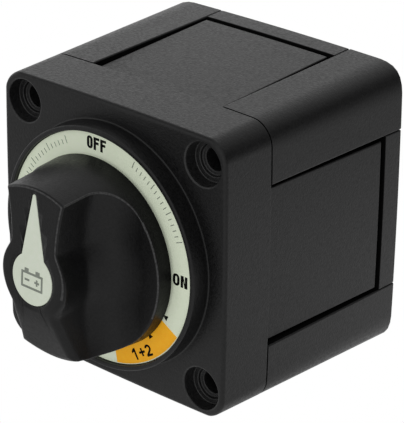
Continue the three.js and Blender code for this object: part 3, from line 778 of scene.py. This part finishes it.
def rim_ring(wall_r, inset):
    """The skirt's ring where the grip rises: on the wall under the grip, and drawn in beside it."""
    quadrant = grip_quadrant(wall_r, lambda z: grip_half_width(z, SWELL_FADE) + SCOOP_REACH)
    on_wall = quadrant[:ARC_POINTS + 1]
    count = len(quadrant) - len(on_wall)
    start = math.atan2(on_wall[-1].x, on_wall[-1].y)
    rest = []
    for i in range(count):
        share = (i + 1) / count
        a = start + (math.pi / 2 - start) * share
        r = wall_r - inset * min(1, share * 5)
        rest.append(Vector((r * math.sin(a), r * math.cos(a))))
    return whole_outline(on_wall + rest, on_wall + rest)


def knob_rings(shell):
    def level(outline, height):
        return shell.ring(outline, FRONT - height)

    rings = []
    for inset, run in quarter(0.4, 3):
        rings.append(level(rim_ring(wall_radius(KNOB_BASE) - inset, 0), KNOB_BASE + run))
    for inset, run in quarter(RIM_ROUND, 4, outward=False):
        height = RIM_HEIGHT - run
        rings.append(level(rim_ring(wall_radius(height), inset), height))
    for step in range(15):
        a = math.radians(88) * (1 - step / 14)
        height = RIM_HEIGHT + SCOOP_RISE * (1 - math.sin(a))
        widening = SCOOP_REACH * (1 - math.cos(a))
        rings.append(level(grip_ring(
            wall_radius(height), lambda z: grip_half_width(z, SWELL_FADE) + widening), height))
    start = RIM_HEIGHT + SCOOP_RISE

    def lofted(outline, share, roundness):
        points = []
        for p in outline:
            top = nose_height(p.y) - nose_edge(p.y) * roundness
            points.append((p.x, FRONT - (start + (top - start) * share), p.y))
        return shell.loose(points)

    top = nose_height(0) - NOSE_EDGE
    for step in range(1, 9):
        share = step / 8
        swelling = SWELL_FADE + (1 - SWELL_FADE) * share
        wall_r = wall_radius(start + (top - start) * share)
        rings.append(lofted(grip_ring(wall_r, lambda z: grip_half_width(z, swelling)), share, 1))
    for step in range(1, 7):
        a = math.pi / 2 * step / 6
        rings.append(lofted(nose_ring(wall_radius(top), 1 - math.cos(a)), 1, 1 - math.sin(a)))
    last = nose_ring(wall_radius(top), 1)
    for share in (0.93, 0.8, 0.6, 0.4, 0.2):
        rings.append(lofted([p * share for p in last], 1, 0))
    return rings


def pointer_outline(margin, count=48):
    r = POINTER_R + margin
    root = POINTER_ROOT + margin
    tip_r = POINTER_END + margin
    start = math.asin(root / r)
    turns = [start + (2 * math.pi - 2 * start) * i / count for i in range(count + 1)]
    big = [Vector((r * math.sin(a), r * math.cos(a))) for a in turns]
    tip_z = POINTER_TIP - POINTER_END
    ends = [math.pi * i / 10 for i in range(11)]
    tip = [Vector((-tip_r * math.cos(a), tip_z + tip_r * math.sin(a))) for a in ends]
    return list(reversed(big + tip))


def on_nose(outline, inset, sunk, shell):
    """A ring on the sloping nose face, this far below it."""
    points = []
    for p in offset(outline, inset) if inset else outline:
        points.append((p.x, FRONT - GRIP_HEIGHT + NOSE_TILT * p.y + sunk, p.y))
    return shell.loose(points)


def highlight_rim(i, ring):
    """The upper edge of the skirt gets a paler painted highlight, except under the grip and low down."""
    at = min(i, len(ring) - 1 - i)
    return 2 if at > ARC_POINTS and ring[i].co.z > -9 else 0


def highlight_ridge(i, ring):
    """The ridges between the upper wall and the hollows get a paler painted highlight."""
    at = min(i, len(ring) - 1 - i)
    return 2 if ARC_POINTS <= at < ARC_POINTS + RIDGE_POINTS else 0


def highlight_nose(i, ring):
    """The nose's edge gets a paler painted highlight, all but its lower part."""
    return 2 if ring[i].co.z > -2 else 0


# First ring, last ring and look: foot, wall, rim, scoop with its ridge, shoulder, edge and face of the nose.
# The foot gets painted shade; the rim, the ridges and the nose's edge get painted highlights.
KNOB_BANDS = (
    (0, 3, 1), (3, 5, 0), (5, 7, highlight_rim), (7, 32, highlight_ridge),
    (32, 34, 0), (34, 36, highlight_nose), (36, 42, 0),
)


def knob():
    shell = Shell()
    rings = knob_rings(shell)
    for first, last, look in KNOB_BANDS:
        shell.skin(*rings[first:last + 1], look=look)
    shell.fill(rings[-1])
    foot, roof, hub_roof = FRONT - KNOB_BASE, FRONT - KNOB_ROOF, FRONT - HUB_ROOF
    under = [
        (KNOB_ROOM_R, foot, 0), (KNOB_ROOM_R, roof, 0.5), (HUB_R, roof, 0.5), (HUB_R, foot, 0.3),
        (HUB_BORE_R, foot, 0.3), (HUB_BORE_R, hub_roof, 0.3), (0.5, hub_roof, 0),
    ]
    below = shell.turned(profile_of(under, 3), 96)
    shell.fill(rings[0], below[0])
    shell.fill(below[-1])
    made = shell.build("knob_moulding", [SATIN, SHADOW, EDGE_HIGHLIGHT_PLASTIC], 50)
    cutter = Shell()
    outline = pointer_outline(POINTER_GAP)
    floor = on_nose(outline, 0, POINTER_THICK + 0.1, cutter)
    mouth = on_nose(outline, 0, -2, cutter)
    cutter.skin(floor, mouth)
    cutter.fill(floor)
    cutter.fill(mouth)
    tool = cutter.build("pointer_recess", [SATIN, SHADOW])
    cut_out(made, tool)
    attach(made, "knob_and_rotor")
    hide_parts("knob")


def cut_out(made, tool):
    """Takes the tool's shape out of the piece, and the tool out of the scene."""
    made.modifiers.clear()
    carve = made.modifiers.new("carve", "BOOLEAN")
    carve.operation = "DIFFERENCE"
    carve.solver = "EXACT"
    carve.object = tool
    depsgraph = bpy.context.evaluated_depsgraph_get()
    carved = bpy.data.meshes.new_from_object(made.evaluated_get(depsgraph))
    made.modifiers.clear()
    made.data = carved
    bpy.data.objects.remove(tool)
    shade(made, 50)


def pointer():
    shell = Shell()
    outline = pointer_outline(0)
    rings = [on_nose(outline, 0, POINTER_THICK, shell)]
    for inset, run in quarter(0.15, 3, outward=False):
        rings.append(on_nose(outline, inset, run - 0.02, shell))
    shell.skin(*rings)
    shell.fill(rings[0])
    shell.fill(rings[-1])
    made = shell.build("pointer_inlay", [INLAY])
    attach(made, "knob_and_rotor")
    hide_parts("knob_pointer")


def battery_sign():
    """A plain battery pictogram on the pointer's round end."""
    shell = Shell()
    line = 0.55
    half_w, half_h = 3.4, 2.0
    inner_w, inner_h = half_w - line, half_h - line
    bars = [
        (-half_w, -half_h, half_w, -inner_h), (-half_w, inner_h, half_w, half_h),
        (-half_w, -inner_h, -inner_w, inner_h), (inner_w, -inner_h, half_w, inner_h),
        (-2.4, half_h, -1.1, half_h + 0.8), (1.1, half_h, 2.4, half_h + 0.8),
        (-2.3, -0.25, -0.8, 0.25), (0.8, -0.25, 2.3, 0.25),
        (1.3, 0.25, 1.8, 0.75), (1.3, -0.75, 1.8, -0.25),
    ]
    for left, low, right, high in bars:
        corners = ((left, low), (right, low), (right, high), (left, high))
        outline = [Vector(p) - Vector((0, 0.5)) for p in corners]
        lower = on_nose(outline, 0, 0, shell)
        upper = on_nose(outline, 0, -0.02 - PRINT_LIFT, shell)
        shell.skin(lower, upper)
        shell.fill(lower)
        shell.fill(upper)
    made = shell.build("pointer_battery_sign", [GREY_INK])
    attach(made, "knob_and_rotor")


# ---------- cable cover ----------
def post_outline():
    """The upper right post, counter-clockwise from groove to groove, without its inner corner."""
    w, i, o, reach = WINDOW, GROOVE_IN, GROOVE_OUT, WINDOW + GROOVE_REACH
    upper = [(HALF - k, HALF) for k in range(7, 14)]
    corners = [
        (i, w, 0), (i, reach, 0.1), (o, reach, 0.1), (o, w, 0.2), (HALF, w, 0.4),
        *[(z, x, 0) for x, z in reversed(upper)],
        (HALF, HALF, CORNER_R), *[(x, z, 0) for x, z in upper],
        (w, HALF, 0.4), (w, o, 0.2), (reach, o, 0.1), (reach, i, 0.1), (w, i, 0),
    ]
    return fillet(corners, 6)


def faces_a_gap(p, q):
    """Is this stretch of the post's outline a wall of the opening beside it?"""
    x, z = sorted(((p.x + q.x) / 2, (p.y + q.y) / 2))
    return x < WINDOW + GROOVE_REACH + 0.05 and z < HALF - 0.35


def rear_cover():
    shell = Shell()
    outer = post_outline()
    inner_corner = Vector((WINDOW, WINDOW))
    closed = outer + [inner_corner]

    # Walls of the openings beside the posts get painted shade.
    def wall_look(i, _):
        return int(faces_a_gap(closed[i], closed[(i + 1) % len(closed)]))

    def spun(points, quarter_turns, y):
        return [at_depth(rotated(p, quarter_turns * math.pi / 2), y) for p in points]

    slab_front = COVER_REAR - SLAB
    outside, inside, mouths = [], [], []
    for k in range(4):
        rings = []
        for inset, run in quarter(SEAM_EDGE, 3):
            y = COVER_FRONT + run
            rings.append(shell.ring(spun(offset(closed, inset), k, y), y))
        rings.append(shell.ring(spun(closed, k, slab_front), slab_front))
        # The posts' front rounding and front faces get painted shade, darkening the seam to the housing.
        shell.skin(*rings[:3], look=1)
        shell.skin(*rings[2:], look=wall_look)
        x, z = rotated(Vector((HOLE_AT, HOLE_AT)), k * math.pi / 2)
        bore = [
            (HOLE_R + 0.3, COVER_FRONT), (HOLE_R, COVER_FRONT + 0.3),
            (HOLE_R, COVER_REAR - 0.4), (HOLE_R + 0.4, COVER_REAR),
        ]
        hole = shell.turned(bore, 32, x, z)
        shell.fill(rings[0], hole[0], look=1)
        mouths.append(hole[-1])
        outside += rings[-1][:-1]
        inside += [rings[-1][0], rings[-1][-1], rings[-1][-2]]
    shell.fill(inside)
    rings = [outside]
    for inset, run in quarter(SMALL_EDGE, 3, outward=False):
        y = COVER_REAR - run
        around = [p for k in range(4) for p in spun(outer, k, y)]
        rings.append(shell.ring(offset(around, inset), y))
    count = len(outer)
    shell.skin(*rings, look=lambda i, _: wall_look(i % count, _) if (i + 1) % count else 0)
    shell.fill(rings[-1], *mouths)
    made = shell.build("cover_moulding", [BLACK, SHADOW])
    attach(made, "cover")
    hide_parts("rear_cover")


def side_plate(place, quarter_turns):
    half = WINDOW - 0.3
    tongue = PLATE_HIGH.x
    bottom = PLATE_LOW.z
    high = GROOVE_OUT - 0.15
    front, rear = PLATE_LOW.y, PLATE_HIGH.y
    side_gap, rear_gap = PLATE_GAP

    def outline(top, inset, face_half, cap):
        crest = [(x, top - CROWN * (x / HALF) ** 2, 0) for x in range(18, -19, -3)]
        edge = top - CROWN * (face_half / HALF) ** 2
        corners = [
            (-tongue, bottom, 0.2), (tongue, bottom, 0.2), (tongue, high, 0.2), (half, high, 0),
            (half, PLATE_LEDGE, 0), (face_half, PLATE_LEDGE, 0), (face_half, edge, 0.3), *crest,
            (-face_half, edge, 0.3), (-face_half, PLATE_LEDGE, 0), (-half, PLATE_LEDGE, 0),
            (-half, high, 0), (-tongue, high, 0.2),
        ]
        loop = [Vector((p.x, min(p.y, cap))) for p in offset(fillet(corners, 4), inset)]
        return [rotated(p, -quarter_turns * math.pi / 2) for p in loop]

    step_y = COVER_REAR - STRIP
    gap_y = step_y - rear_gap
    face_front = HALF * growth(front) - PLATE_RECESS[0]
    face_rear = HALF * growth(gap_y) - PLATE_RECESS[1]
    narrow, wide = WINDOW - side_gap, WINDOW - 0.1
    floor_cap, uncut = PLATE_LEDGE + 0.02, HALF + 9
    sections = []  # inset, place, height of the top, half-width of the face, cut-off height, all in painted shade
    for inset, run in quarter(SEAM_EDGE, 3):
        sections.append((inset, front + run, face_front, narrow, uncut, 0))
    for inset, run in quarter(0.25, 3, outward=False):
        share = (gap_y - run - front) / (gap_y - front)
        top = face_front + (face_rear - face_front) * share - inset
        sections.append((0, gap_y - run, top, narrow, uncut, 0))
    sections[-1] = (*sections[-1][:5], 1)
    sections.append((0, gap_y, face_rear, narrow, floor_cap, 1))
    sections.append((0, step_y, face_rear, wide, floor_cap, 1))
    for inset, run in quarter(SEAM_EDGE, 3):
        sections.append((0, step_y + run, HALF * growth(step_y + run) - inset, wide, uncut, 0))
    for inset, run in quarter(SMALL_EDGE, 3, outward=False):
        sections.append((inset, rear - run, HALF * growth(rear - run), wide, uncut, 0))
    shell = Shell()
    rings = [shell.ring(outline(top, inset, face_half, cap), y)
             for inset, y, top, face_half, cap, _ in sections]
    for i, (*_, dark) in enumerate(sections[:-1]):
        # Dark sections, and the side grooves' floors and inner walls, get painted shade.
        shell.skin(rings[i], rings[i + 1], look=1 if dark else in_groove)
    shell.fill(rings[0])
    shell.fill(rings[-1])
    made = shell.build(f"cover_plate_{place}", [BLACK, SHADOW])
    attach(made, f"plate_{place}")
    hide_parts(f"side_plate_{place}")


def in_groove(i, ring):
    """Is this stretch of a plate's section the floor or the inner wall of its side groove?"""
    a, b = ring[i], ring[(i + 1) % len(ring)]
    across, out = sorted((abs(a.co.x + b.co.x) / 2, abs(a.co.z + b.co.z) / 2))
    return int(WINDOW - PLATE_GAP[0] - 0.05 < across < WINDOW and PLATE_LEDGE - 0.05 < out < HALF - 1.6)


# ---------- terminals ----------
def thread_ring(shell, x, z, y, radius, depth, pitch):
    """One ring of a screw thread: the radius follows a helix between its root and its crest."""
    points = []
    for i in range(THREAD_COUNT):
        turn = i / THREAD_COUNT
        phase = (y / pitch + turn) % 1
        tooth = min(1, max(0, 2.6 * (0.5 - abs(phase - 0.5)) - 0.15))
        r = radius - depth * (1 - tooth)
        a = 2 * math.pi * turn
        points.append(Vector((x + r * math.cos(a), z + r * math.sin(a))))
    return shell.ring(points, y)


def terminal_stud(number):
    """A stud with a flat head in the base and an M10 thread towards the rear."""
    name = f"terminal_stud_{number}"
    low, high = node_box(name)
    x, end, z = (value / MM for value in mounts[f"stud_{number}_end"]["pos_m"])
    head_rear = low.y + STUD_HEAD_THICK
    shell = Shell()
    head = [(low.x, low.z, 1.2), (high.x, low.z, 1.2), (high.x, high.z, 1.2), (low.x, high.z, 1.2)]
    outline = fillet(head)
    levels = [(inset, low.y + run) for inset, run in quarter(SMALL_EDGE, 3)]
    levels += [(inset, head_rear - run) for inset, run in quarter(SMALL_EDGE, 3, outward=False)]
    rings = [shell.ring(offset(outline, inset), y) for inset, y in levels]
    shell.skin(*rings)
    shell.fill(rings[0])
    shaft = [thread_ring(shell, x, z, y, STUD_R, 0, 1) for y in (head_rear, THREAD_FROM - 0.6)]
    shell.fill(rings[-1], shaft[0])
    steps = round((end - THREAD_FROM) / THREAD_STEP)
    for i in range(steps + 1):
        y = THREAD_FROM + (end - THREAD_FROM) * i / steps
        chamfer = max(0, STUD_CHAMFER - (end - y))
        radius = STUD_R - chamfer * 0.8
        depth = THREAD_DEPTH * smooth_step((y - THREAD_FROM) / THREAD_PITCH) * (1 - chamfer / STUD_CHAMFER)
        shaft.append(thread_ring(shell, x, z, y, radius, depth, THREAD_PITCH))
    shell.skin(*shaft)
    shell.fill(shaft[-1])
    made = shell.build(f"stud_threaded_{number}", [TINNED], 60)
    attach(made, "housing")
    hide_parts(name)


def stud_nut(number):
    """A hexagon nut with chamfered corners and a countersunk bore."""
    name = f"stud_nut_{number}"
    low, high = node_box(name)
    middle = (low + high) / 2
    flats = (high.x - low.x) / 2

    def hexagon(reach):
        outline = []
        for i in range(72):
            a = 2 * math.pi * i / 72
            to_flat = (a + math.pi / 6) % (math.pi / 3) - math.pi / 6
            r = min(flats / math.cos(to_flat), reach)
            outline.append(Vector((middle.x + r * math.cos(a), middle.z + r * math.sin(a))))
        return outline

    shell = Shell()
    cone = [(flats * 0.95, 0), (flats * 0.99, 0.12), (flats * 1.06, 0.5), (flats * 1.16, 1.15)]
    outer = [shell.ring(hexagon(reach), low.y + run) for reach, run in cone]
    outer += [shell.ring(hexagon(reach), high.y - run) for reach, run in reversed(cone)]
    wall, mouth = STUD_R + 0.2, STUD_R + 0.9
    run = mouth - wall
    profile = [(mouth, low.y), (wall, low.y + run), (wall, high.y - run), (mouth, high.y)]
    bore = shell.turned(profile, 48, middle.x, middle.z)
    shell.skin(*outer)
    shell.fill(outer[0], bore[0])
    shell.fill(outer[-1], bore[-1])
    made = shell.build(f"nut_hexagon_{number}", [STEEL], 30)
    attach(made, "housing")
    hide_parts(name)


# ---------- carried-over pieces ----------
def carried(look, *names, edge=0.25):
    for name in names:
        node = frame["nodes"][name]
        for material_slot in node.material_slots:
            material_slot.material = look
        rounded = node.modifiers.new("rounded_edges", "BEVEL")
        rounded.width = edge * MM
        rounded.segments = 2
        rounded.limit_method = "ANGLE"
        rounded.angle_limit = math.radians(40)
        flat = node.modifiers.new("flat_faces_stay_flat", "WEIGHTED_NORMAL")
        flat.keep_sharp = True


def numbered(name, count):
    return [f"{name}_{i + 1}" for i in range(count)]


# ---------- studio ----------
# Brightness by compass direction in eighths of a turn, from the front, clockwise as seen from above.
SKY_LOW = (0.57, 0.50, 0.86, 0.78, 0.12, 0.04, 0.32, 0.63)
SKY_HIGH = (0.42, 0.10, 0.38, 0.64, 0.42, 0.38, 0.50, 0.58)
SKY_TOP = 0.52
LIGHT = 1.17
FLOOR_NEAR = (0.34, 0.55, 0.60, 0.62, 0.72, 0.58, 0.48, 0.50)
FLOOR_FAR = (0.33, 0.46, 0.47, 0.45, 0.38, 0.31, 0.34, 0.62)


def ramp(tree, factor, stops):
    """Brightness that follows (position, value) stops."""
    node = tree.nodes.new("ShaderNodeValToRGB")
    tree.links.new(factor, node.inputs["Fac"])
    elements = node.color_ramp.elements
    for element, (position, value) in zip(elements, (stops[0], stops[-1])):
        element.position, element.color = position, (value, value, value, 1)
    for position, value in stops[1:-1]:
        elements.new(position).color = (value, value, value, 1)
    return node.outputs["Color"]


def around(tree, x, y, values):
    """Brightness by compass direction of x, y."""
    turn = calculated(tree, "ARCTAN2", x, y)
    share = calculated(tree, "MULTIPLY_ADD", turn, 0.5 / math.pi, 0.5)
    seam = (values[0] + values[-1]) / 2
    middles = [((i + 0.5) / len(values), value) for i, value in enumerate(values)]
    return ramp(tree, share, [(0, seam), *middles, (1, seam)])


def blended(tree, factor, first, second):
    """From first to second as the factor goes from 0 to 1."""
    rest = calculated(tree, "SUBTRACT", 1, factor)
    return calculated(tree, "ADD", calculated(tree, "MULTIPLY", first, rest),
                      calculated(tree, "MULTIPLY", second, factor))


def floor():
    """A plain white floor, graded in the light that it throws back on to the switch, clear from below."""
    mesh = bpy.data.meshes.new("floor")
    reach = 6.0
    z = cad_box[0].z - 0.0003
    corners = [(-reach, -reach, z), (reach, -reach, z), (reach, reach, z), (-reach, reach, z)]
    mesh.from_pydata(corners, [], [(0, 1, 2, 3)])
    made = added("floor", mesh)
    material = bpy.data.materials.new("floor_white")
    material.use_nodes = True
    tree = material.node_tree
    tree.nodes.remove(tree.nodes["Principled BSDF"])
    glow = tree.nodes.new("ShaderNodeEmission")
    one_sided = tree.nodes.new("ShaderNodeMixShader")
    tree.links.new(tree.nodes.new("ShaderNodeNewGeometry").outputs["Backfacing"], one_sided.inputs["Fac"])
    tree.links.new(glow.outputs["Emission"], one_sided.inputs[1])
    tree.links.new(tree.nodes.new("ShaderNodeBsdfTransparent").outputs["BSDF"], one_sided.inputs[2])
    tree.links.new(one_sided.outputs["Shader"], tree.nodes["Material Output"].inputs["Surface"])
    x, y, _ = axes(tree, tree.nodes.new("ShaderNodeTexCoord").outputs["Object"])
    y = calculated(tree, "ADD", y, 0.03)
    away = calculated(tree, "SQRT", calculated(tree, "ADD", calculated(tree, "MULTIPLY", x, x),
                                               calculated(tree, "MULTIPLY", y, y)))
    far = ramp(tree, away, [(0.1, 0), (0.3, 1)])
    thrown = blended(tree, far, around(tree, x, y, FLOOR_NEAR), around(tree, x, y, FLOOR_FAR))
    seen = tree.nodes.new("ShaderNodeLightPath").outputs["Is Camera Ray"]
    thrown = calculated(tree, "MULTIPLY", thrown, LIGHT)
    tree.links.new(blended(tree, seen, thrown, 1.0), glow.inputs["Strength"])
    mesh.materials.append(material)


def world():
    """A soft studio: bright low at the rear left, dim at the rear right, white behind the switch."""
    sky = bpy.data.worlds.new("studio")
    sky.use_nodes = True
    tree = sky.node_tree
    x, y, up = axes(tree, tree.nodes.new("ShaderNodeTexCoord").outputs["Generated"])
    high = ramp(tree, up, [(0.43, 0), (0.75, 1)])
    top = ramp(tree, up, [(0.88, 0), (0.96, 1)])
    sides = blended(tree, high, around(tree, x, y, SKY_LOW), around(tree, x, y, SKY_HIGH))
    whole = calculated(tree, "MULTIPLY", blended(tree, top, sides, SKY_TOP), LIGHT)
    seen = tree.nodes.new("ShaderNodeLightPath").outputs["Is Camera Ray"]
    tree.links.new(blended(tree, seen, whole, 1.0), tree.nodes["Background"].inputs["Strength"])
    tree.nodes["Background"].inputs["Color"].default_value = (1, 1, 1, 1)
    bpy.context.scene.world = sky


CAMERA_AT = Vector((320.75, FRONT - 331.52, 218.82))
CAMERA_FORWARD = Vector((-0.60218, 0.68172, -0.41550))
CAMERA_UP = Vector((-0.28204, 0.30522, 0.90956))
CAMERA_LENS = 186.88


def camera():
    data = bpy.data.cameras.new("camera")
    data.lens = CAMERA_LENS
    data.sensor_width = 36
    data.clip_start, data.clip_end = 0.01, 50
    made = added("camera", data)
    back = -CAMERA_FORWARD.normalized()
    right = CAMERA_UP.cross(back).normalized()
    up = back.cross(right)
    turn = Matrix((right, up, back)).transposed().to_4x4()
    made.matrix_world = Matrix.Translation(CAMERA_AT * MM) @ turn
    bpy.context.scene.camera = made


front_housing()
label()
dial_print()
knob()
pointer()
battery_sign()
rear_cover()
for turns, side in enumerate(("top", "right", "bottom", "left")):
    side_plate(side, turns)
carried(BASE, "terminal_base", "rotor", edge=0.3)
carried(RUBBER, "base_gasket", "shaft_seal", edge=0.05)
for i in range(4):
    terminal_stud(i + 1)
    stud_nut(i + 1)
carried(COPPER, *numbered("contact_bar", 2))
carried(STEEL, *numbered("flat_washer", 4), *numbered("lock_washer", 4))
carried(STEEL, *numbered("base_screw", 4), "knob_screw", edge=0.15)
carried(SPRING, *numbered("contact_spring", 2), *numbered("detent_spring", 2), edge=0.02)
carried(SPRING, *numbered("detent_ball", 2), edge=0.02)
camera()
floor()
world()
bpy.context.scene.view_settings.view_transform = "Standard"
